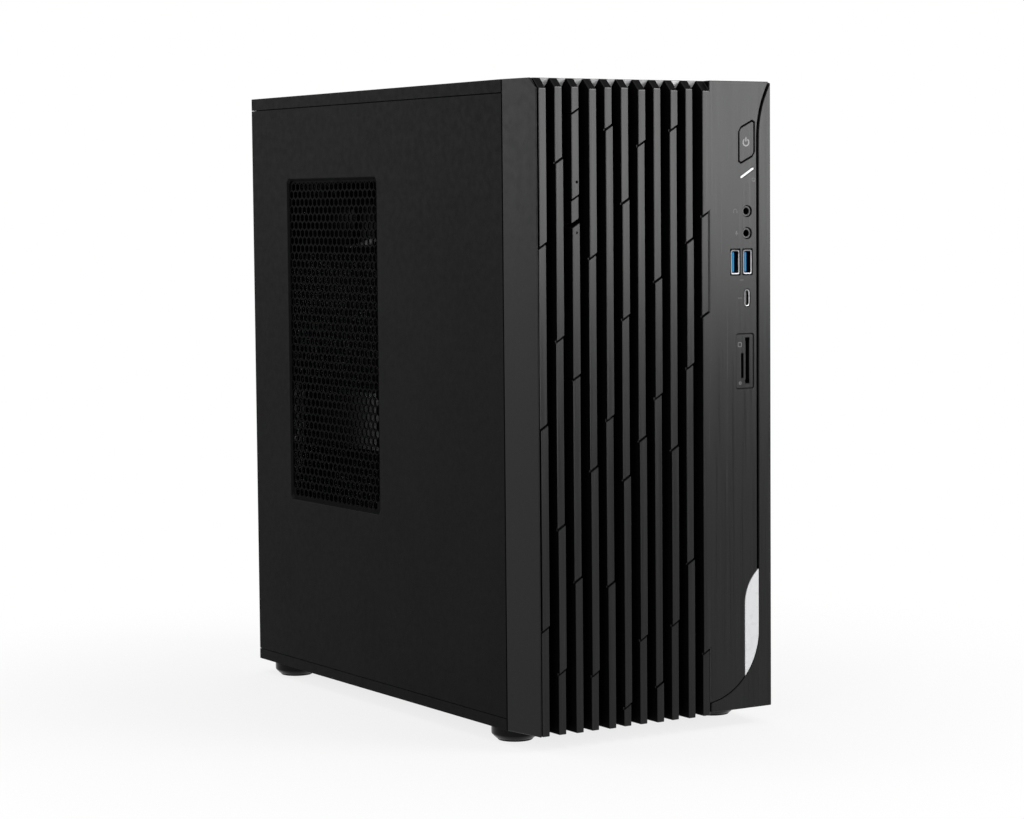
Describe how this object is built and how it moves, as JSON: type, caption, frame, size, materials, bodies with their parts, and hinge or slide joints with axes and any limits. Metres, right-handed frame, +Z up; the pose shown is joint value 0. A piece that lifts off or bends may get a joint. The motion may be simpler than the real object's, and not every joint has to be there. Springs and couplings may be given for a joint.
{
  "type": "desktop computer tower",
  "caption": "Compact desktop computer tower with a ribbed slant-cut front, upright slim disc drive, front ports, sunken side vent, removable side panel and fitted internals.",
  "frame": {"origin": "on the floor under the middle of the tower, at the centre of its bounding box's underside", "axes": "+X to the right seen from the front, +Y to the back, +Z up"},
  "size_m": [0.157, 0.315, 0.346],
  "materials": {
    "badge_white": "satin",
    "bezel_plastic": "fine grain",
    "black_plastic": "satin",
    "board_resin": "satin",
    "drive_aluminium": "satin",
    "fan_plastic": "satin",
    "foot_rubber": "matte",
    "heatsink_aluminium": "satin",
    "light_white": "frosted",
    "psu_paint": "satin",
    "rib_finish": "brushed satin",
    "screw_steel": "satin",
    "shell_paint": "satin",
    "socket_steel": "satin",
    "standoff_brass": "satin",
    "tongue_blue": "satin",
    "video_blue": "satin",
    "zinc_steel": "satin"
  },
  "bodies": {
    "case": {"audio_jacks": "black_plastic", "badge_plate": "badge_white", "base_pan": "shell_paint", "board_blocks": "black_plastic", "board_slots": "black_plastic", "board_standoffs": "standoff_brass", "card_reader": "black_plastic", "case_screws": "screw_steel", "cooler_fan_frame": "fan_plastic", "cooler_heatsink": "heatsink_aluminium", "drive_case": "zinc_steel", "feet": "black_plastic", "foot_pads": "foot_rubber", "front_bezel": "bezel_plastic", "front_port_board": "board_resin", "front_wall": "zinc_steel", "graphics_board": "board_resin", "graphics_bracket": "zinc_steel", "graphics_heatsink": "heatsink_aluminium", "graphics_shroud": "black_plastic", "hard_drive": "drive_aluminium", "hard_drive_cage": "zinc_steel", "light_bar": "light_white", "mains_inlet": "black_plastic", "mains_pins": "socket_steel", "mains_switch_frame": "black_plastic", "memory_sticks": "board_resin", "motherboard": "board_resin", "motherboard_tray": "zinc_steel", "optical_bracket": "zinc_steel", "port_shield": "zinc_steel", "power_switch": "black_plastic", "psu_case": "psu_paint", "psu_guard": "zinc_steel", "rear_audio_sockets": "black_plastic", "rear_fan_frame": "fan_plastic", "rear_network_sockets": "socket_steel", "rear_panel": "zinc_steel", "rear_usb_sockets": "socket_steel", "rear_video_sockets": "video_blue", "rib_panel": "rib_finish", "right_panel": "shell_paint", "slot_covers": "zinc_steel", "top_panel": "shell_paint", "usb_shells": "socket_steel", "usb_tongues": "tongue_blue"},
    "side_panel": {"left_panel": "shell_paint", "panel_thumbscrews": "screw_steel"},
    "disc_tray": {"disc_tray": "black_plastic", "drive_door": "rib_finish"},
    "eject_button": {"eject_button": "rib_finish"},
    "disc_spindle": {"disc_spindle": "black_plastic"},
    "laser_sled": {"laser_sled": "drive_aluminium"},
    "power_button": {"power_button": "rib_finish"},
    "rear_fan": {"rear_fan_rotor": "fan_plastic"},
    "cooler_fan": {"cooler_fan_rotor": "fan_plastic"},
    "graphics_fan": {"graphics_fan_rotor": "fan_plastic"},
    "psu_fan": {"psu_fan_rotor": "fan_plastic"},
    "mains_rocker": {"mains_switch_rocker": "black_plastic"}
  },
  "joints": [
    {"name": "side_panel_slide", "type": "slide", "parent": "case", "child": "side_panel", "axis": [0, 1, 0], "range_m": [0, 0.3]},
    {"name": "disc_tray_slide", "type": "slide", "parent": "case", "child": "disc_tray", "axis": [0, -1, 0], "range_m": [0, 0.125]},
    {"name": "eject_button_press", "type": "slide", "parent": "disc_tray", "child": "eject_button", "axis": [0, 1, 0], "range_m": [0, 0.0008], "stiffness_N_per_m": 300},
    {"name": "disc_spindle_spin", "type": "hinge", "parent": "disc_tray", "child": "disc_spindle", "pos_m": [-0.0503, -0.07705, 0.261], "axis": [1, 0, 0], "continuous": true},
    {"name": "laser_sled_slide", "type": "slide", "parent": "disc_tray", "child": "laser_sled", "axis": [0, 1, 0], "range_m": [0, 0.021]},
    {"name": "power_button_press", "type": "slide", "parent": "case", "child": "power_button", "axis": [0, 1, 0], "range_m": [0, 0.001], "stiffness_N_per_m": 500},
    {"name": "rear_fan_spin", "type": "hinge", "parent": "case", "child": "rear_fan", "pos_m": [-0.0238, 0.1375, 0.294], "axis": [0, 1, 0], "continuous": true},
    {"name": "cooler_fan_spin", "type": "hinge", "parent": "case", "child": "cooler_fan", "pos_m": [0.01, 0.073, 0.265], "axis": [1, 0, 0], "continuous": true},
    {"name": "graphics_fan_spin", "type": "hinge", "parent": "case", "child": "graphics_fan", "pos_m": [-0.00145, 0.058, 0.148], "axis": [0, 0, 1], "continuous": true},
    {"name": "psu_fan_spin", "type": "hinge", "parent": "case", "child": "psu_fan", "pos_m": [0, 0.0994, 0.024], "axis": [0, 0, 1], "continuous": true},
    {"name": "mains_rocker_tilt", "type": "hinge", "parent": "case", "child": "mains_rocker", "pos_m": [0.008, 0.1455, 0.046], "axis": [1, 0, 0], "range_deg": [-18, 0]}
  ]
}
